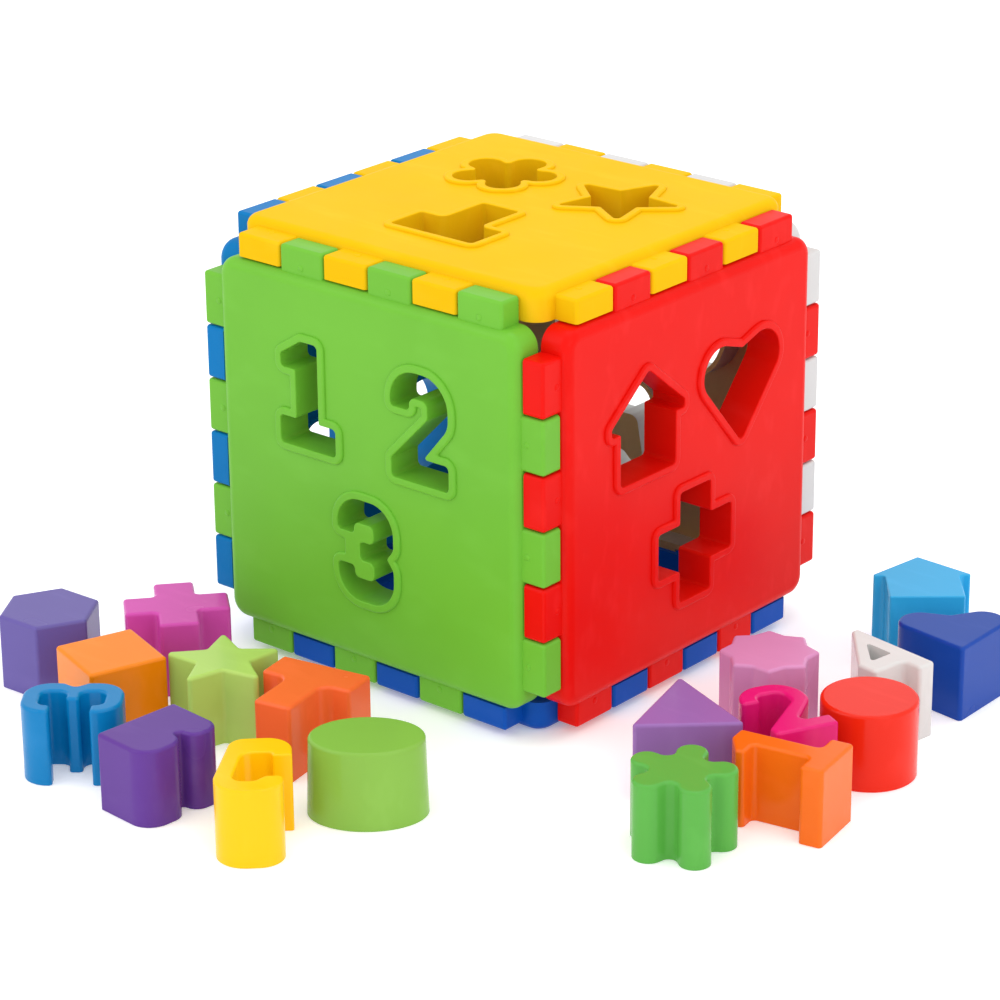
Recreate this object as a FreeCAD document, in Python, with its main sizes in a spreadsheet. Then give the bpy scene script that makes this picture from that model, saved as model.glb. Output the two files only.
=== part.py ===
import FreeCAD, Part
import math
import os
import Sketcher

# Shape-sorting cube: six interlocking panels, each with three shaped holes, and the
# eighteen loose blocks that fit them.  Millimetres, +Z up.  The origin is on the
# floor, at the middle of the cube's underside.

doc = FreeCAD.newDocument("shape_sorter")

DIMS = {
    # cube, measured from its centre along each panel's outward normal
    "outer_face": 93.0,         # outer face of a panel's raised plate
    "finger_outer": 90.0,       # outer face of the fingers
    "finger_inner": 80.0,       # inner face of the fingers and open edge of the plate
    "collar_end": 78.0,         # inner end of the collar round each hole
    # plate
    "half_side": 79.2,          # half the width of the plate
    "corner_round": 8.0,        # plate corners, seen square on
    "edge_round": 4.6,          # outer edge of the plate
    "wall": 2.4,                # side wall behind the plate's edge
    "skin": 2.5,                # thickness of the plate itself
    "collar_wall": 2.0,         # wall of each collar
    "bead_rise": 1.2,           # raised rim round each hole
    "bead_width": 3.4,
    "bead_outer_round": 1.0,    # outer edge of the rim
    "bead_inner_round": 0.5,    # edge of the rim at the hole
    # fingers: three per side, each one slot wide, in every other slot of six
    "slot_width": 23.3333,
    "finger_gap": 0.3,          # clearance on each side of a finger
    "finger_root": 77.8,        # where a finger merges into the side wall
    "finger_round": 1.4,        # edges round a finger's outer face and end
    # holes
    "hole_pitch": 30.0,         # hole centres from the panel's middle lines
    "circle_radius": 20.8,
    "oval_major": 24.6,
    "oval_minor": 19.0,
    # loose blocks
    "block_height": 32.0,
    "block_gap": 1.2,           # clearance all round between a block and its hole
    "block_round": 1.4,         # top edge of a block
    "four_recess": 20.0,        # depth of the triangular recess in the figure 4
}

sheet = doc.addObject("Spreadsheet::Sheet", "dims")
for row, (alias, value) in enumerate(DIMS.items(), start=1):
    sheet.set("A%d" % row, alias)
    sheet.set("B%d" % row, "%g" % value)
    sheet.setAlias("B%d" % row, alias)
doc.recompute()


def dim(alias):
    return float(sheet.get(alias))


# ---------------------------------------------------------------------------
# Hole outlines.  Each is a closed run of corners (x, y, corner radius), taken
# anticlockwise about the hole's centre; lines join the rounded corners.
# ---------------------------------------------------------------------------

def star_ring(points, tip_reach, tip_round, dip_reach=0.0, dip_round=0.0, first=90.0):
    """Corners of a regular polygon, or of a star when dip_reach is given."""
    corners = []
    step = 360.0 / points
    for k in range(points):
        tip = math.radians(first + k * step)
        dip = math.radians(first + (k + 0.5) * step)
        corners.append((tip_reach * math.cos(tip), tip_reach * math.sin(tip), tip_round))
        if dip_reach:
            corners.append((dip_reach * math.cos(dip), dip_reach * math.sin(dip), dip_round))
    return corners


def petal_ring(petals, reach, half_width, tip_round, root_reach, root_round):
    """Corners of a flower: two per petal end and one between neighbouring petals."""
    corners = []
    for k in range(petals):
        axis = math.radians(90.0 + k * 360.0 / petals)
        for side in (-half_width, half_width):
            x = reach * math.cos(axis) - side * math.sin(axis)
            y = reach * math.sin(axis) + side * math.cos(axis)
            corners.append((x, y, tip_round))
        dip = axis + math.pi / petals
        corners.append((root_reach * math.cos(dip), root_reach * math.sin(dip), root_round))
    return corners


def mirror_x(right_half):
    """Close an outline that is symmetric about its vertical middle line."""
    left_half = [(-x, y, r) for x, y, r in reversed(right_half) if x > 0.01]
    return right_half + left_half


OUTLINES = {
    "hexagon": star_ring(6, 22.6, 1.5, first=0.0),
    "triangle": [(-24, -14.4, 1.8), (24, -14.4, 1.8), (0, 33.4, 1.8)],
    "square": [(-18, -18, 1.5), (18, -18, 1.5), (18, 18, 1.5), (-18, 18, 1.5)],
    "star": star_ring(5, 27.5, 1.5, 12.3, 1.0),
    "burst": star_ring(8, 22.6, 1.5, 18.6, 1.5),
    "flower": petal_ring(5, 22.6, 8.0, 7.2, 11.8, 2.0),
    "plus": [(-10, -24, 1.5), (10, -24, 1.5), (10, -10, 1.2), (24, -10, 1.5),
             (24, 10, 1.5), (10, 10, 1.2), (10, 24, 1.5), (-10, 24, 1.5),
             (-10, 10, 1.2), (-24, 10, 1.5), (-24, -10, 1.5), (-10, -10, 1.2)],
    "tee": [(-9.5, -22, 1.5), (9.5, -22, 1.5), (9.5, 2.5, 4), (21.5, 2.5, 1.5),
            (21.5, 21.5, 1.5), (-21.5, 21.5, 1.5), (-21.5, 2.5, 1.5), (-9.5, 2.5, 4)],
    "house": mirror_x([(17.5, -22, 2), (17.5, 0.5, 0.8), (23, 0.5, 1.2), (23, 4, 1.2),
                       (0, 22.5, 2)]),
    # the house block is narrower than its hole, with a steeper roof
    "house_block": mirror_x([(16.8, -21, 2), (16.8, 1.4, 0.8), (21.4, 1.4, 1.2),
                             (21.4, 4.6, 1.2), (0, 24.2, 2)]),
    "heart": mirror_x([(0, -23.5, 2.5), (26, 7, 9.5), (22, 24, 11.5), (0, 17, 1.2)]),
    "lobes": [(-16, -21, 1.5), (16, -21, 10.5), (16, 1, 9.5), (7.5, 3, 0.6),
              (16, 5, 6.8), (16, 21, 8.2), (-16, 21, 1.5)],
    "one": [(-15, -23, 2), (15, -23, 2), (15, -11, 2), (6, -11, 1), (6, 22.5, 2),
            (-3, 22.5, 3), (-14, 15.5, 2), (-14, 10, 2), (-6, 10, 1), (-6, -11, 1),
            (-15, -11, 2)],
    "two": [(-15, -23, 2), (15, -23, 2), (15, -12, 2), (2, -12, 1), (15, 3.5, 9),
            (15, 23, 13.5), (-15, 23, 13), (-15, 7, 2), (-5, 7, 2), (-5, 12.5, 3),
            (4.5, 12.5, 3), (4.5, 5, 3), (-15, -15, 2)],
    "three": [(-15, -22, 12), (15, -22, 12), (15, -4.5, 5), (11.5, 0, 1), (15, 4.5, 5),
              (15, 22, 12), (-15, 22, 12), (-15, 7, 2), (-6, 7, 2), (-6, 12, 2.6),
              (4.5, 12, 2.6), (4.5, 4, 2.6), (-3, 4, 2), (-3, -4, 2), (4.5, -4, 2.6),
              (4.5, -12, 2.6), (-6, -12, 2.6), (-6, -7, 2), (-15, -7, 2)],
    "four": [(2, -22.5, 2), (13, -22.5, 2), (13, 22.5, 2.5), (8, 22.5, 2.5),
             (-14, -2.5, 2), (-14, -13.5, 2), (2, -13.5, 1.2)],
    "six": [(-15.7, -23.6, 13), (12.8, -23.6, 12), (12.8, -8.6, 4), (4.5, -8.6, 4),
            (0.5, -12.5, 3), (-6.6, -12.5, 3), (-2.8, 8.8, 4), (6.3, 8.8, 1.2),
            (6.3, 5.8, 1.5), (16.2, 5.8, 1.5), (16.2, 23.6, 11), (-9, 23.6, 8),
            (-15.7, -9.8, 6)],
}

# A collar or rim on both sides of a narrow tongue would run into itself, so round these
# holes they follow the outline with its slits filled in.
CLOSED_OUTLINES = {
    "three": [(-15, -22, 12), (15, -22, 12), (15, -4.5, 5), (11.5, 0, 1), (15, 4.5, 5),
              (15, 22, 12), (-15, 22, 12), (-15, 7, 2), (-8, 6, 2), (-8, -6, 2),
              (-15, -7, 2)],
    "six": [(-15.7, -23.6, 13), (12.8, -23.6, 12), (16.2, 2, 6), (16.2, 23.6, 11),
            (-9, 23.6, 8), (-15.7, -9.8, 6)],
    "lobes": [(-16, -21, 1.5), (16, -21, 10.5), (16, 21, 8.2), (-16, 21, 1.5)],
}

# triangular recess in the top of the figure 4
FOUR_RECESS = [(4.5, -4.5, 1.0), (4.5, 9.5, 1.0), (-7.0, -4.5, 1.0)]


def unit(x0, y0, x1, y1):
    length = math.hypot(x1 - x0, y1 - y0)
    return (x1 - x0) / length, (y1 - y0) / length, length


def move_outline(corners, distance, scale=1.0, least_round=0.3):
    """Scale an outline, then offset it outwards (or inwards when distance is negative)."""
    moved = []
    count = len(corners)
    for i, (x, y, radius) in enumerate(corners):
        before = corners[i - 1]
        after = corners[(i + 1) % count]
        ux, uy, _ = unit(before[0], before[1], x, y)
        vx, vy, _ = unit(x, y, after[0], after[1])
        shift = distance / (1.0 + ux * vx + uy * vy)
        outward_corner = ux * vy - uy * vx > 0
        radius = radius + distance if outward_corner else radius - distance
        moved.append((x * scale + (uy + vy) * shift, y * scale - (ux + vx) * shift,
                      max(least_round, radius)))
    return moved


def tangent_length(corners, i):
    """Distance from corner i to where its rounding starts, per unit of radius."""
    x, y, _ = corners[i]
    ax, ay, _ = unit(x, y, corners[i - 1][0], corners[i - 1][1])
    after = corners[(i + 1) % len(corners)]
    bx, by, _ = unit(x, y, after[0], after[1])
    half_angle = 0.5 * math.acos(max(-1.0, min(1.0, ax * bx + ay * by)))
    return 1.0 / math.tan(half_angle)


def fit_radii(corners):
    """Ease any two neighbouring radii that need more than the edge between them."""
    radii = [radius for _, _, radius in corners]
    for i in range(len(corners)):
        j = (i + 1) % len(corners)
        length = unit(corners[i][0], corners[i][1], corners[j][0], corners[j][1])[2]
        need = radii[i] * tangent_length(corners, i) + radii[j] * tangent_length(corners, j)
        if need > 0.98 * length:
            radii[i] *= 0.98 * length / need
            radii[j] *= 0.98 * length / need
    return [(x, y, radii[i]) for i, (x, y, _) in enumerate(corners)]


def outline_geometry(corners, x_offset=0.0, y_offset=0.0, turn=0.0):
    """Lines and arcs of a rounded outline, turned and moved to its place."""
    cos_t = math.cos(math.radians(turn))
    sin_t = math.sin(math.radians(turn))
    corners = [(x_offset + x * cos_t - y * sin_t, y_offset + x * sin_t + y * cos_t, r)
               for x, y, r in fit_radii(corners)]
    starts = []
    ends = []
    geometry = []
    for i, (x, y, radius) in enumerate(corners):
        ax, ay, _ = unit(x, y, corners[i - 1][0], corners[i - 1][1])
        after = corners[(i + 1) % len(corners)]
        bx, by, _ = unit(x, y, after[0], after[1])
        reach = radius * tangent_length(corners, i)
        cx, cy, _ = unit(0.0, 0.0, ax + bx, ay + by)
        to_centre = math.hypot(reach, radius)
        centre = FreeCAD.Vector(x + cx * to_centre, y + cy * to_centre, 0)
        start = FreeCAD.Vector(x + ax * reach, y + ay * reach, 0)
        end = FreeCAD.Vector(x + bx * reach, y + by * reach, 0)
        outward_corner = ax * by - ay * bx < 0
        first, last = (start, end) if outward_corner else (end, start)
        first_angle = math.atan2(first.y - centre.y, first.x - centre.x)
        last_angle = math.atan2(last.y - centre.y, last.x - centre.x)
        circle = Part.Circle(centre, FreeCAD.Vector(0, 0, 1), radius)
        geometry.append(Part.ArcOfCircle(circle, first_angle, last_angle))
        starts.append(start)
        ends.append(end)
    for i in range(len(corners)):
        j = (i + 1) % len(corners)
        if ends[i].distanceToPoint(starts[j]) > 1e-4:
            geometry.append(Part.LineSegment(ends[i], starts[j]))
    return geometry


# ---------------------------------------------------------------------------
# Sketch and feature helpers
# ---------------------------------------------------------------------------

def plane_sketch(body, name, level):
    """Sketch parallel to the body's own XY plane, at the height given by an expression."""
    plane = [f for f in body.Origin.OriginFeatures if f.Role == "XY_Plane"][0]
    sketch = body.newObject("Sketcher::SketchObject", name)
    sketch.AttachmentSupport = [(plane, "")]
    sketch.MapMode = "FlatFace"
    if level:
        sketch.setExpression("AttachmentOffset.Base.z", level)
    return sketch


def pad(body, name, sketch, length):
    feature = body.newObject("PartDesign::Pad", name)
    feature.Profile = (sketch, [""])
    feature.setExpression("Length", length)
    return feature


def pocket_up(body, name, sketch, length):
    """Cut from the sketch plane towards +Z of the body."""
    feature = body.newObject("PartDesign::Pocket", name)
    feature.Profile = (sketch, [""])
    feature.Reversed = True
    feature.setExpression("Length", length)
    return feature


def round_edges(body, name, base, radius, wanted):
    """Fillet every edge of the base feature that the test picks."""
    doc.recompute()
    names = ["Edge%d" % (i + 1) for i, edge in enumerate(base.Shape.Edges) if wanted(edge)]
    feature = body.newObject("PartDesign::Fillet", name)
    feature.Base = (base, names)
    feature.setExpression("Radius", radius)
    return feature


def rounded_square(sketch, half, radius):
    """Square centred on the origin, its half width and corner radius bound to the sheet."""
    side = dim("half_side")
    bend = dim("corner_round")
    flat = side - bend
    run = [(-flat, -side, flat, -side), (side, -flat, side, flat),
           (flat, side, -flat, side), (-side, flat, -side, -flat)]
    centres = [(flat, -flat), (flat, flat), (-flat, flat), (-flat, -flat)]
    for k in range(4):
        x0, y0, x1, y1 = run[k]
        sketch.addGeometry(Part.LineSegment(FreeCAD.Vector(x0, y0, 0),
                                            FreeCAD.Vector(x1, y1, 0)))
    for k in range(4):
        centre = FreeCAD.Vector(centres[k][0], centres[k][1], 0)
        circle = Part.Circle(centre, FreeCAD.Vector(0, 0, 1), bend)
        quarter = math.radians(90.0 * (k - 1))
        sketch.addGeometry(Part.ArcOfCircle(circle, quarter, quarter + math.pi / 2))
    for k in range(4):
        sketch.addConstraint(Sketcher.Constraint("Tangent", k, 2, 4 + k, 1))
        sketch.addConstraint(Sketcher.Constraint("Tangent", 4 + k, 2, (k + 1) % 4, 1))
        sketch.addConstraint(Sketcher.Constraint("Vertical" if k % 2 else "Horizontal", k))
    for k in range(1, 4):
        sketch.addConstraint(Sketcher.Constraint("Equal", 4, 4 + k))
    bound = [
        (sketch.addConstraint(Sketcher.Constraint("Radius", 4, bend)), radius),
        (sketch.addConstraint(Sketcher.Constraint("DistanceY", 0, 1, -1, 1, side)), half),
        (sketch.addConstraint(Sketcher.Constraint("DistanceX", -1, 1, 1, 1, side)), half),
        (sketch.addConstraint(Sketcher.Constraint("DistanceY", -1, 1, 2, 1, side)), half),
        (sketch.addConstraint(Sketcher.Constraint("DistanceX", 3, 1, -1, 1, side)), half),
    ]
    for index, expression in bound:
        sketch.setExpression("Constraints[%d]" % index, expression)


def add_shape(sketch, shape, grow, x=0.0, y=0.0, turn=0.0, scale=1.0, least_round=0.3):
    """One outline in a sketch: grown for a rim or collar, as it is for a hole, shrunk for
    a block."""
    if shape == "circle":
        centre = FreeCAD.Vector(x, y, 0)
        sketch.addGeometry(Part.Circle(centre, FreeCAD.Vector(0, 0, 1),
                                       dim("circle_radius") * scale + grow))
    elif shape == "oval":
        along = FreeCAD.Rotation(FreeCAD.Vector(0, 0, 1), turn)
        major = along.multVec(FreeCAD.Vector(dim("oval_major") + grow, 0, 0))
        minor = along.multVec(FreeCAD.Vector(0, dim("oval_minor") + grow, 0))
        centre = FreeCAD.Vector(x, y, 0)
        sketch.addGeometry(Part.Ellipse(centre + major, centre + minor, centre))
    else:
        outline = CLOSED_OUTLINES.get(shape, OUTLINES[shape]) if grow > 0 else OUTLINES[shape]
        corners = move_outline(outline, grow, scale, least_round)
        for piece in outline_geometry(corners, x, y, turn):
            sketch.addGeometry(piece)


# ---------------------------------------------------------------------------
# Panels.  Each is built lying flat about the cube's centre, outer face up, and
# turned into place.  The six share one plate; only the holes and colours differ.
# ---------------------------------------------------------------------------

def facing(x_axis, y_axis, z_axis):
    """Placement that turns a panel's own axes to these directions about the cube centre."""
    rotation = FreeCAD.Rotation(FreeCAD.Vector(*x_axis), FreeCAD.Vector(*y_axis),
                                FreeCAD.Vector(*z_axis), "ZXY")
    return FreeCAD.Placement(FreeCAD.Vector(0, 0, dim("outer_face")), rotation)


PITCH = dim("hole_pitch")
PANELS = {
    # node: (own X, own Y, outward normal, raised rims, holes as (shape, x, y, turn))
    "front_panel": ((1, 0, 0), (0, 0, 1), (0, -1, 0), True,
                    [("one", -PITCH, PITCH, 0), ("two", PITCH, PITCH, 0),
                     ("three", 0, -PITCH, 0)]),
    "right_panel": ((0, 1, 0), (0, 0, 1), (1, 0, 0), True,
                    [("house", -PITCH, PITCH - 1, 0), ("heart", PITCH + 1, PITCH - 3, 0),
                     ("plus", 1, -PITCH - 1, 0)]),
    "back_panel": ((-1, 0, 0), (0, 0, 1), (0, 1, 0), True,
                   [("oval", -PITCH, PITCH, 90), ("four", PITCH, PITCH, 0),
                    ("six", 0, -PITCH, 0)]),
    "left_panel": ((0, -1, 0), (0, 0, 1), (-1, 0, 0), True,
                   [("circle", -PITCH, -PITCH, 0), ("lobes", PITCH, -PITCH, 0),
                    ("triangle", 0, PITCH - 8, 0)]),
    "top_panel": ((1, 0, 0), (0, 1, 0), (0, 0, 1), True,
                  [("flower", -PITCH, PITCH, 0), ("star", PITCH + 1, PITCH, 0),
                   ("tee", 0, -PITCH, 180)]),
    "bottom_panel": ((1, 0, 0), (0, -1, 0), (0, 0, -1), False,
                     [("square", -PITCH, PITCH, 0), ("burst", PITCH, PITCH, 0),
                      ("hexagon", 0, -PITCH, 0)]),
}


def finger_sketch(body):
    """The three fingers along one side, in every other slot."""
    sketch = plane_sketch(body, body.Label + "_finger_plan", "dims.finger_inner")
    slot = dim("slot_width")
    gap = dim("finger_gap")
    root = dim("finger_root")
    tip = dim("finger_outer")
    for k in (-2, 0, 2):
        x0 = k * slot + gap
        x1 = (k + 1) * slot - gap
        base = sketch.GeometryCount
        points = [(x0, root), (x1, root), (x1, tip), (x0, tip)]
        for i in range(4):
            a = FreeCAD.Vector(points[i][0], points[i][1], 0)
            b = FreeCAD.Vector(points[(i + 1) % 4][0], points[(i + 1) % 4][1], 0)
            sketch.addGeometry(Part.LineSegment(a, b))
        for i in range(4):
            sketch.addConstraint(Sketcher.Constraint("Coincident", base + i, 2,
                                                     base + (i + 1) % 4, 1))
            kind = "Vertical" if i % 2 else "Horizontal"
            sketch.addConstraint(Sketcher.Constraint(kind, base + i))
        near_x = "%d * dims.slot_width + dims.finger_gap" % k
        far_x = "%d * dims.slot_width - dims.finger_gap" % (k + 1)
        sizes = [(-1, 1, base, 1, x0, "DistanceX", near_x),
                 (-1, 1, base, 2, x1, "DistanceX", far_x),
                 (-1, 1, base, 1, root, "DistanceY", "dims.finger_root"),
                 (-1, 1, base + 2, 1, tip, "DistanceY", "dims.finger_outer")]
        for g1, p1, g2, p2, value, kind, expression in sizes:
            index = sketch.addConstraint(Sketcher.Constraint(kind, g1, p1, g2, p2, value))
            sketch.setExpression("Constraints[%d]" % index, expression)
    return sketch


def make_panel(node, x_axis, y_axis, normal, raised, holes):
    body = doc.addObject("PartDesign::Body", node)
    body.Label = node
    outer = dim("outer_face")

    plan = plane_sketch(body, node + "_plate_plan", "dims.finger_inner")
    rounded_square(plan, "dims.half_side", "dims.corner_round")
    plate = pad(body, node + "_plate", plan, "dims.outer_face - dims.finger_inner")
    edge = round_edges(body, node + "_plate_edge", plate, "dims.edge_round",
                       lambda e: e.BoundBox.ZMin > outer - 0.01)

    hollow = plane_sketch(body, node + "_hollow_plan", "dims.finger_inner")
    rounded_square(hollow, "dims.half_side - dims.wall", "dims.corner_round - dims.wall")
    doc.recompute()
    full_volume = edge.Shape.Volume
    tray = pocket_up(body, node + "_hollow", hollow,
                     "dims.outer_face - dims.finger_inner - dims.skin")
    doc.recompute()
    assert tray.Shape.Volume < 0.5 * full_volume

    fingers = pad(body, node + "_fingers", finger_sketch(body),
                  "dims.finger_outer - dims.finger_inner")
    around = body.newObject("PartDesign::PolarPattern", node + "_fingers_around")
    around.Originals = [fingers]
    around.Axis = (plan, ["N_Axis"])
    around.Angle = 360.0
    around.Occurrences = 4
    body.Tip = around

    reach = dim("finger_outer")

    def finger_edge(edge_shape):
        """Edges of a finger's outer face or end, but not where it meets the plate."""
        box = edge_shape.BoundBox
        far = max(abs(box.XMin), abs(box.XMax), abs(box.YMin), abs(box.YMax))
        on_outer_face = abs(box.ZMin - reach) < 0.01 and abs(box.ZMax - reach) < 0.01
        upright = box.XLength < 0.01 and box.YLength < 0.01
        return abs(far - reach) < 0.01 and (on_outer_face or upright)

    round_edges(body, node + "_finger_edges", around, "dims.finger_round", finger_edge)

    collars = plane_sketch(body, node + "_collar_plan", "dims.collar_end")
    for shape, x, y, turn in holes:
        add_shape(collars, shape, dim("collar_wall"), x, y, turn)
    pad(body, node + "_collars", collars,
        "dims.outer_face - dims.collar_end - dims.skin / 2")

    if raised:
        beads = plane_sketch(body, node + "_bead_plan", "dims.outer_face - dims.skin / 2")
        for shape, x, y, turn in holes:
            add_shape(beads, shape, dim("bead_width"), x, y, turn)
        raised_pad = pad(body, node + "_beads", beads, "dims.skin / 2 + dims.bead_rise")
        rim = outer + dim("bead_rise")
        round_edges(body, node + "_bead_outer_edges", raised_pad, "dims.bead_outer_round",
                    lambda e: e.BoundBox.ZMin > rim - 0.01)

    cuts = plane_sketch(body, node + "_hole_plan", "dims.collar_end - 2")
    for shape, x, y, turn in holes:
        add_shape(cuts, shape, 0.0, x, y, turn)
    doc.recompute()
    before = body.Tip.Shape.Volume
    through = pocket_up(body, node + "_holes", cuts,
                        "dims.outer_face - dims.collar_end + 2 + 4")
    doc.recompute()
    assert through.Shape.Volume < before - 1000.0

    if raised:
        drop = rim - dim("collar_end") + 2

        def hole_edge(edge_shape):
            """Edges of the rim's top face that stand straight above the hole's outline."""
            if edge_shape.BoundBox.ZMin < rim - 0.01:
                return False
            middle = edge_shape.valueAt(0.5 * sum(edge_shape.ParameterRange))
            below = cuts.Shape.distToShape(Part.Vertex(middle))[0]
            return abs(below - drop) < 0.01

        round_edges(body, node + "_bead_inner_edges", through, "dims.bead_inner_round",
                    hole_edge)

    body.Placement = facing(x_axis, y_axis, normal)
    return body


# ---------------------------------------------------------------------------
# Loose blocks, standing on the floor around the cube
# ---------------------------------------------------------------------------

BLOCKS = {
    # shape: (x, y, turn about Z, size against its hole)
    "hexagon": (-111.9, -164.9, 2, 1.0),
    "plus": (-74.6, -128.4, 49, 0.95),
    "square": (-60.7, -179.1, -19, 1.0),
    "star": (-21.8, -155.2, -28, 1.04),
    "tee": (19.1, -154.0, 11, 1.0),
    "three": (-41.6, -218.2, 129, 0.96),
    "lobes": (5.2, -217.3, -5, 0.97),
    "six": (53.5, -216.6, 44, 1.0),
    "oval": (69.9, -171.2, 40, 1.0),
    "house": (147.8, 86.8, 40, 1.0),
    "heart": (187.4, 51.9, 42, 0.92),
    "four": (175.8, 12.2, 81, 1.0),
    "burst": (141.8, -12.3, -9, 0.96),
    "triangle": (149.5, -76.8, 42, 1.0),
    "two": (176.9, -50.6, 63, 0.96),
    "circle": (197.3, -22.3, 0, 0.98),
    "one": (197.8, -77.7, 100, 1.0),
    "flower": (179.1, -117.9, 22, 1.0),
}

# the house and the figure 6 have narrow parts, so their top edges are rounded less
SHARPER = {"house": 0.5, "six": 0.6}

# the oval narrows a little towards its top, in degrees each side
TAPERED = {"oval": -1.8}


def make_block(shape, x, y, turn, scale):
    node = "block_" + shape
    body = doc.addObject("PartDesign::Body", node)
    body.Label = node
    ease = SHARPER.get(shape, 1.0)
    plan = plane_sketch(body, node + "_plan", None)
    least = dim("block_round") * ease + 0.2
    outline = "house_block" if shape == "house" else shape
    add_shape(plan, outline, -dim("block_gap"), scale=scale, least_round=least)
    solid = pad(body, node + "_solid", plan, "dims.block_height")
    solid.TaperAngle = TAPERED.get(shape, 0.0)
    top = dim("block_height")
    round_edges(body, node + "_top_edge", solid, "dims.block_round * %g" % ease,
                lambda e: e.BoundBox.ZMin > top - 0.01)
    if shape == "four":
        recess = plane_sketch(body, node + "_recess_plan",
                              "dims.block_height - dims.four_recess")
        for piece in outline_geometry(FOUR_RECESS):
            recess.addGeometry(piece)
        pocket_up(body, node + "_recess", recess, "dims.four_recess + 2")
    body.Placement = FreeCAD.Placement(FreeCAD.Vector(x, y, 0),
                                       FreeCAD.Rotation(FreeCAD.Vector(0, 0, 1), turn))
    return body


pieces = []
for node, (x_axis, y_axis, normal, raised, holes) in PANELS.items():
    pieces.append(make_panel(node, x_axis, y_axis, normal, raised, holes))
for shape, (x, y, turn, scale) in BLOCKS.items():
    pieces.append(make_block(shape, x, y, turn, scale))
doc.recompute()

# ---------------------------------------------------------------------------
# Checks and export
# ---------------------------------------------------------------------------

for obj in doc.Objects:
    bad = [state for state in obj.State if state in ("Invalid", "Error")]
    if bad:
        raise RuntimeError("%s is %s" % (obj.Name, bad))

os.makedirs("parts", exist_ok=True)
for body in pieces:
    shape = body.Shape
    if shape.isNull() or not shape.isValid() or len(shape.Solids) != 1:
        raise RuntimeError("%s has no single valid solid" % body.Label)
for body in pieces:
    body.Shape.exportStep("parts/%s.step" % body.Label)
    print("%-16s %10.1f mm3" % (body.Label, body.Shape.Volume))
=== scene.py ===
import math
import bpy
import bmesh
from mathutils import Matrix, Vector


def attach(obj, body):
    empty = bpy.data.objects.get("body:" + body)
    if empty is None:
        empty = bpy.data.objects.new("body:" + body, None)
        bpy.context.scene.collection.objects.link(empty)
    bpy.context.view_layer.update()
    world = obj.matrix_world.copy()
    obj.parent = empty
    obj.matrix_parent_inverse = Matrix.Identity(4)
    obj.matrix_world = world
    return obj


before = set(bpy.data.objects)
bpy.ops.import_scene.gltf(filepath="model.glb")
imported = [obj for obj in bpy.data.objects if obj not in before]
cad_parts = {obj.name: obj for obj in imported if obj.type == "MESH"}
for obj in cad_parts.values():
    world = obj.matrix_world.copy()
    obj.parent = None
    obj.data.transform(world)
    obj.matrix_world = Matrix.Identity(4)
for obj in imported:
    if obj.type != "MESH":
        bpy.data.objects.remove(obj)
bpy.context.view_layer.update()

# ---------------------------------------------------------------------------
# Materials: moulded toy plastic, one colour per piece
# ---------------------------------------------------------------------------


def linear(r, g, b):
    """Scene-linear colour of an 8-bit display colour."""
    out = []
    for c in (r, g, b):
        c /= 255.0
        out.append(c / 12.92 if c <= 0.04045 else ((c + 0.055) / 1.055) ** 2.4)
    return (*out, 1.0)


def add_node(tree, kind, x, y, **inputs):
    node = tree.nodes.new(kind)
    node.location = (x, y)
    for name, value in inputs.items():
        node.inputs[name.replace("_", " ")].default_value = value
    return node


PLASTIC_IOR = 1.49
COAT_ROUGHNESS = 0.10
CLOUD_SHADE = 0.94          # flow clouds: how dark the darker colour is
RUB_BRIGHTEN = 1.06         # rub marks: colour times this, plus the lift
RUB_LIFT = 0.012
GLOSS_BELOW = 0.03          # gloss patches: range about the plastic's own roughness
GLOSS_ABOVE = 0.06
RIPPLE_STRENGTH = 0.05
RIPPLE_HEIGHT = 0.0015


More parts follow.
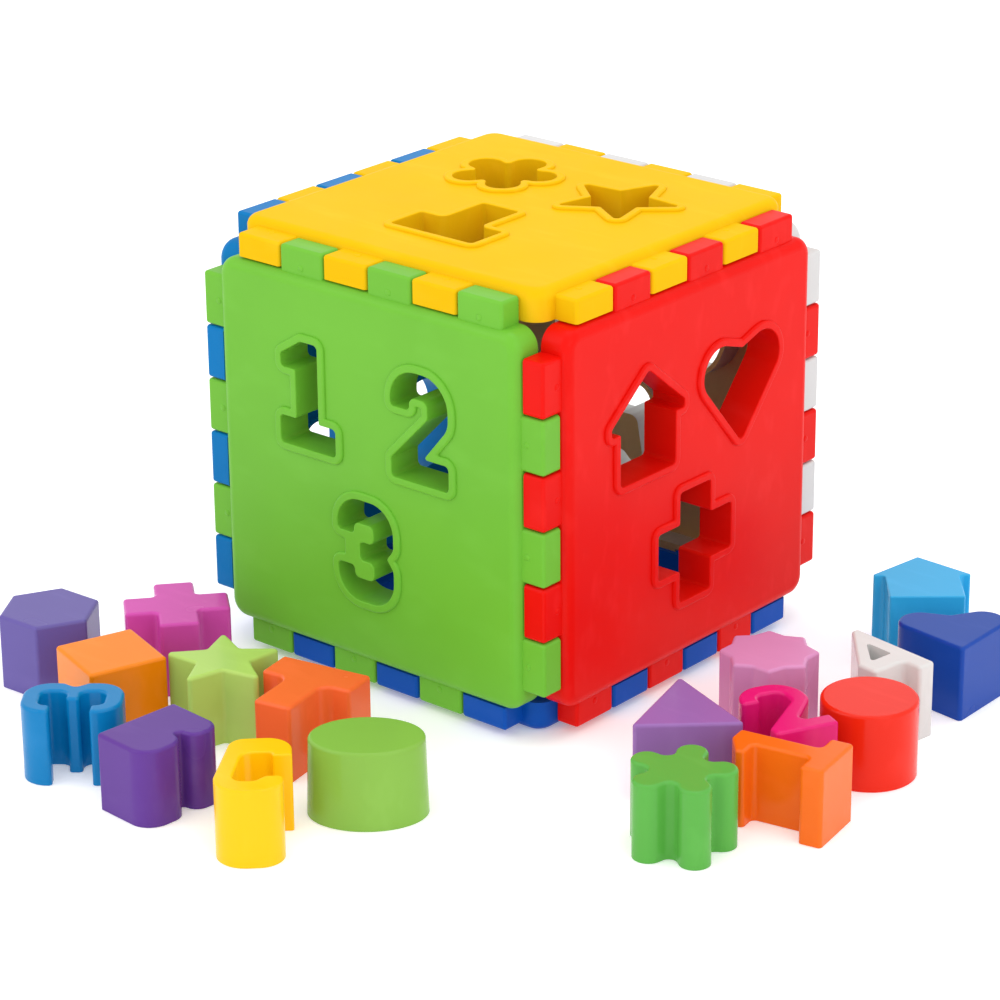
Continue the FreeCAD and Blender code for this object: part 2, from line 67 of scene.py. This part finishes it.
def plastic(name, rgb, roughness, specular, coat, painted_glow, painted_bounce, seed):
    """Injection-moulded plastic: faint flow clouding in the colour, a few pale rub marks,
    gloss dulled in patches and a slight ripple in the surface.  The glow is painted light, a
    faint self-glow that lifts the shade, for light coming through thin walls.  The second
    colour, for faces turned to -Y, is painted bounce light and shade."""
    mat = bpy.data.materials.new(name)
    mat.use_nodes = True
    tree = mat.node_tree
    tree.nodes.clear()
    link = tree.links.new
    out = add_node(tree, "ShaderNodeOutputMaterial", 900, 0)
    bsdf = add_node(tree, "ShaderNodeBsdfPrincipled", 600, 0)
    link(bsdf.outputs["BSDF"], out.inputs["Surface"])
    bsdf.inputs["IOR"].default_value = PLASTIC_IOR
    bsdf.inputs["Specular IOR Level"].default_value = specular
    bsdf.inputs["Coat Weight"].default_value = coat
    bsdf.inputs["Coat Roughness"].default_value = COAT_ROUGHNESS
    # painted light: a faint self-glow in the base colour that lifts the shade
    bsdf.inputs["Emission Strength"].default_value = painted_glow
    base = linear(*rgb)
    bsdf.inputs["Emission Color"].default_value = base

    coords = add_node(tree, "ShaderNodeTexCoord", -1300, 0)
    place = add_node(tree, "ShaderNodeMapping", -1100, 0)
    place.inputs["Location"].default_value = (seed, seed * 0.7, seed * 1.3)
    link(coords.outputs["Object"], place.inputs["Vector"])

    # flow clouding
    dark = tuple(c * CLOUD_SHADE for c in base[:3]) + (1.0,)
    clouds = add_node(tree, "ShaderNodeTexNoise", -850, 250, Scale=14.0, Detail=3.0,
                      Roughness=0.55)
    link(place.outputs["Vector"], clouds.inputs["Vector"])
    spread = add_node(tree, "ShaderNodeMapRange", -650, 250)
    spread.inputs["From Min"].default_value = 0.35
    spread.inputs["From Max"].default_value = 0.65
    link(clouds.outputs["Fac"], spread.inputs["Value"])
    tint = add_node(tree, "ShaderNodeMix", -400, 250)
    tint.data_type = "RGBA"
    tint.inputs["A"].default_value = dark
    tint.inputs["B"].default_value = base
    link(spread.outputs["Result"], tint.inputs["Factor"])

    # pale rub marks, long in one direction
    stretch = add_node(tree, "ShaderNodeMapping", -1100, 520)
    stretch.inputs["Scale"].default_value = (1.0, 4.5, 2.0)
    stretch.inputs["Rotation"].default_value = (0.4, 0.7, 0.3 + seed)
    link(place.outputs["Vector"], stretch.inputs["Vector"])
    marks = add_node(tree, "ShaderNodeTexNoise", -850, 520, Scale=30.0, Detail=2.0,
                     Roughness=0.5)
    link(stretch.outputs["Vector"], marks.inputs["Vector"])
    worn = add_node(tree, "ShaderNodeMapRange", -650, 520)
    worn.inputs["From Min"].default_value = 0.55
    worn.inputs["From Max"].default_value = 0.80
    worn.inputs["To Max"].default_value = 0.6
    link(marks.outputs["Fac"], worn.inputs["Value"])
    pale = tuple(min(1.0, c * RUB_BRIGHTEN + RUB_LIFT) for c in base[:3]) + (1.0,)
    rub = add_node(tree, "ShaderNodeMix", -150, 300)
    rub.data_type = "RGBA"
    rub.inputs["B"].default_value = pale
    link(worn.outputs["Result"], rub.inputs["Factor"])
    link(tint.outputs["Result"], rub.inputs["A"])
    # painted bounce light and shade: a warm tan mixed in on faces turned to -Y
    colour = rub
    if painted_bounce is not None:
        facing = add_node(tree, "ShaderNodeSeparateXYZ", -650, 760)
        link(coords.outputs["Normal"], facing.inputs["Vector"])
        painted_bounce_mask = add_node(tree, "ShaderNodeMapRange", -400, 760)
        painted_bounce_mask.inputs["From Min"].default_value = -0.3
        painted_bounce_mask.inputs["From Max"].default_value = -0.8
        link(facing.outputs["Y"], painted_bounce_mask.inputs["Value"])
        colour = add_node(tree, "ShaderNodeMix", 100, 400)
        colour.data_type = "RGBA"
        colour.inputs["B"].default_value = linear(*painted_bounce)
        link(painted_bounce_mask.outputs["Result"], colour.inputs["Factor"])
        link(rub.outputs["Result"], colour.inputs["A"])
    link(colour.outputs["Result"], bsdf.inputs["Base Color"])

    # gloss dulled in soft patches
    scuffs = add_node(tree, "ShaderNodeTexNoise", -850, -50, Scale=32.0, Detail=1.0,
                      Roughness=0.5)
    link(place.outputs["Vector"], scuffs.inputs["Vector"])
    gloss = add_node(tree, "ShaderNodeMapRange", -400, -50)
    gloss.inputs["From Min"].default_value = 0.3
    gloss.inputs["From Max"].default_value = 0.75
    gloss.inputs["To Min"].default_value = roughness - GLOSS_BELOW
    gloss.inputs["To Max"].default_value = roughness + GLOSS_ABOVE
    link(scuffs.outputs["Fac"], gloss.inputs["Value"])
    link(gloss.outputs["Result"], bsdf.inputs["Roughness"])

    # moulded surface: a slow ripple
    slow = add_node(tree, "ShaderNodeTexNoise", -850, -350, Scale=45.0, Detail=1.0)
    link(place.outputs["Vector"], slow.inputs["Vector"])
    ripple_bump = add_node(tree, "ShaderNodeBump", -200, -400,
                           Strength=RIPPLE_STRENGTH, Distance=RIPPLE_HEIGHT)
    link(slow.outputs["Fac"], ripple_bump.inputs["Height"])
    link(ripple_bump.outputs["Normal"], bsdf.inputs["Normal"])
    return mat


COLOURS = {
    "front_panel": (104, 174, 50),
    "right_panel": (216, 14, 6),
    "back_panel": (204, 203, 202),
    "left_panel": (4, 110, 173),
    "top_panel": (224, 176, 12),
    "bottom_panel": (10, 76, 170),
    "block_hexagon": (95, 82, 150),
    "block_plus": (195, 69, 161),
    "block_square": (230, 123, 4),
    "block_star": (167, 197, 97),
    "block_tee": (234, 99, 49),
    "block_three": (4, 116, 174),
    "block_lobes": (88, 49, 134),
    "block_six": (240, 184, 6),
    "block_oval": (125, 171, 68),
    "block_house": (47, 161, 212),
    "block_heart": (8, 60, 150),
    "block_four": (204, 202, 200),
    "block_burst": (200, 134, 178),
    "block_triangle": (142, 98, 163),
    "block_two": (208, 23, 108),
    "block_circle": (216, 36, 14),
    "block_one": (227, 101, 17),
    "block_flower": (86, 163, 67),
}

# panels are matter than blocks, each with its own specular level
PANEL_SPECULAR = {"front_panel": 0.14, "right_panel": 0.08, "back_panel": 0.18,
                  "left_panel": 0.06, "top_panel": 0.01, "bottom_panel": 0.08}
BLOCK_SPECULAR = 0.12
PANEL_ROUGHNESS = 0.34
BLOCK_ROUGHNESS = 0.22
PANEL_COAT = 0.03
BLOCK_COAT = 0.14
# painted light: self-glow strength that lifts the shade, for light coming through thin walls
THIN_WALL_PAINTED_GLOW = 0.08
# painted bounce light and shade: tan painted on the white panel's inside, where light off
# the coloured walls falls
BACK_PAINTED_BOUNCE = (224, 188, 134)    # the white panel's inside, in light from coloured walls
SEED_STEP = 1.7

materials = {}
for index, (node, rgb) in enumerate(COLOURS.items()):
    panel = node in PANEL_SPECULAR
    white_back = node == "back_panel"
    materials[node] = plastic(
        node + "_plastic", rgb,
        roughness=PANEL_ROUGHNESS if panel else BLOCK_ROUGHNESS,
        specular=PANEL_SPECULAR.get(node, BLOCK_SPECULAR),
        coat=PANEL_COAT if panel else BLOCK_COAT,
        painted_glow=0.0 if white_back else THIN_WALL_PAINTED_GLOW,
        painted_bounce=BACK_PAINTED_BOUNCE if white_back else None,
        seed=SEED_STEP * index)
for node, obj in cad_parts.items():
    obj.data.materials.clear()
    obj.data.materials.append(materials[node])

# ---------------------------------------------------------------------------
# Gate marks: a low round pip at the root of every finger
# ---------------------------------------------------------------------------

centre = Vector((0.0, 0.0, 0.093))  # middle of the cube
FINGER_FACE = 0.090         # outer face of the fingers, from the middle
SLOT = 0.0233333            # one finger and its clearance
PIP_FROM_CENTRE = 0.0817
PIP_RADIUS = 0.0014
PIP_RISE = 0.0003
PIP_SINK = 0.0003           # how far a pip reaches into its finger


def circle_point(radius, k, sides, z):
    angle = 2.0 * math.pi * k / sides
    return Vector((radius * math.cos(angle), radius * math.sin(angle), z))


def add_dome(mesh, radius, rise, to_place, rings=4, sides=20):
    """A shallow round dome standing on z = 0, moved by a matrix."""
    def ring(r, z):
        return [mesh.verts.new(to_place @ circle_point(r, k, sides, z))
                for k in range(sides)]

    grid = []
    for i in range(rings):
        t = 0.5 * math.pi * i / rings
        grid.append(ring(radius * math.cos(t), rise * math.sin(t)))
    base = ring(radius, -PIP_SINK)
    top = mesh.verts.new(to_place @ Vector((0.0, 0.0, rise)))
    under = mesh.verts.new(to_place @ Vector((0.0, 0.0, -PIP_SINK)))
    grid.insert(0, base)
    for lower, upper in zip(grid, grid[1:]):
        for j in range(sides):
            k = (j + 1) % sides
            mesh.faces.new((lower[j], lower[k], upper[k], upper[j]))
    for j in range(sides):
        k = (j + 1) % sides
        mesh.faces.new((grid[-1][j], grid[-1][k], top))
        mesh.faces.new((base[k], base[j], under))


# own X, own Y and outward normal of each panel
PANEL_AXES = {
    "front_panel": ((1, 0, 0), (0, 0, 1), (0, -1, 0)),
    "right_panel": ((0, 1, 0), (0, 0, 1), (1, 0, 0)),
    "back_panel": ((-1, 0, 0), (0, 0, 1), (0, 1, 0)),
    "left_panel": ((0, -1, 0), (0, 0, 1), (-1, 0, 0)),
    "top_panel": ((1, 0, 0), (0, 1, 0), (0, 0, 1)),
    "bottom_panel": ((1, 0, 0), (0, -1, 0), (0, 0, -1)),
}

for panel, axes in PANEL_AXES.items():
    turn = Matrix([Vector(a) for a in axes]).transposed().to_4x4()
    mesh = bmesh.new()
    for side in range(4):
        around = Matrix.Rotation(side * math.pi / 2, 4, "Z")
        for slot in (-2, 0, 2):
            spot = Vector(((slot + 0.5) * SLOT, PIP_FROM_CENTRE, FINGER_FACE))
            place = (Matrix.Translation(centre) @ turn @ around
                     @ Matrix.Translation(spot))
            add_dome(mesh, PIP_RADIUS, PIP_RISE, place)
    data = bpy.data.meshes.new(panel + "_pips")
    mesh.to_mesh(data)
    mesh.free()
    data.polygons.foreach_set("use_smooth", [True] * len(data.polygons))
    data.materials.append(materials[panel])
    pips = bpy.data.objects.new(panel + "_pips", data)
    bpy.context.scene.collection.objects.link(pips)
    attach(pips, panel)

# ---------------------------------------------------------------------------
# Floor, light and camera
# ---------------------------------------------------------------------------

FLOOR_REACH = 6.0
FLOOR_DROP = 0.0002         # keeps the floor just clear of the undersides
WHITE = (1.0, 1.0, 1.0, 1.0)

floor_mesh = bpy.data.meshes.new("floor")
corners = [(x * FLOOR_REACH, y * FLOOR_REACH, 0)
           for x, y in ((-1, -1), (1, -1), (1, 1), (-1, 1))]
floor_mesh.from_pydata(corners, [], [(0, 1, 2, 3)])
floor = bpy.data.objects.new("floor", floor_mesh)
floor.location.z = -FLOOR_DROP
bpy.context.scene.collection.objects.link(floor)
floor_mat = bpy.data.materials.new("pale_floor")
floor_mat.use_nodes = True
floor_bsdf = floor_mat.node_tree.nodes["Principled BSDF"]
floor_bsdf.inputs["Base Color"].default_value = (0.94, 0.94, 0.94, 1.0)
floor_bsdf.inputs["Roughness"].default_value = 0.9
floor_bsdf.inputs["Specular IOR Level"].default_value = 0.1
floor_bsdf.inputs["Emission Color"].default_value = WHITE
floor_bsdf.inputs["Emission Strength"].default_value = 0.22
floor_mesh.materials.append(floor_mat)

world = bpy.data.worlds.new("studio")
bpy.context.scene.world = world
world.use_nodes = True
background = world.node_tree.nodes["Background"]
background.inputs["Color"].default_value = WHITE
background.inputs["Strength"].default_value = 1.1


def area_light(name, position, target, size, power):
    lamp = bpy.data.lights.new(name, "AREA")
    lamp.shape = "DISK"
    lamp.size = size
    lamp.energy = power
    obj = bpy.data.objects.new(name, lamp)
    obj.location = position
    aim = Vector(target) - Vector(position)
    obj.rotation_euler = aim.to_track_quat("-Z", "Y").to_euler()
    bpy.context.scene.collection.objects.link(obj)


area_light("key", (-0.9, -1.6, 1.5), (0, 0, 0.05), 1.6, 8.0)
area_light("fill", (1.8, -0.6, 1.1), (0, 0, 0.05), 1.6, 6.0)
area_light("overhead", (0.1, 0.2, 2.0), (0, 0, 0), 1.8, 8.0)

# where the camera stands round the cube's middle, and how far it is moved sideways
AZIMUTH = math.radians(40.561)
ELEVATION = math.radians(22.070)
ROLL = math.radians(-0.539)
DISTANCE = 1.51365
SIDE_SHIFT = -0.006514
UP_SHIFT = -0.034034
FOCAL_OVER_WIDTH = 3.6276

back = Vector((math.sin(AZIMUTH) * math.cos(ELEVATION),
               -math.cos(AZIMUTH) * math.cos(ELEVATION), math.sin(ELEVATION)))
level_right = Vector((math.cos(AZIMUTH), math.sin(AZIMUTH), 0.0))
level_up = back.cross(level_right)
right = math.cos(ROLL) * level_right + math.sin(ROLL) * level_up
up = -math.sin(ROLL) * level_right + math.cos(ROLL) * level_up
camera_data = bpy.data.cameras.new("camera")
camera_data.sensor_fit = "HORIZONTAL"
camera_data.sensor_width = 36.0
camera_data.lens = 36.0 * FOCAL_OVER_WIDTH
camera_data.clip_end = 50.0
camera = bpy.data.objects.new("camera", camera_data)
bpy.context.scene.collection.objects.link(camera)
stand = centre + back * DISTANCE + right * SIDE_SHIFT + up * UP_SHIFT
camera.matrix_world = Matrix((
    (right.x, up.x, back.x, stand.x),
    (right.y, up.y, back.y, stand.y),
    (right.z, up.z, back.z, stand.z),
    (0.0, 0.0, 0.0, 1.0),
))
bpy.context.scene.camera = camera
bpy.context.scene.view_settings.view_transform = "Standard"
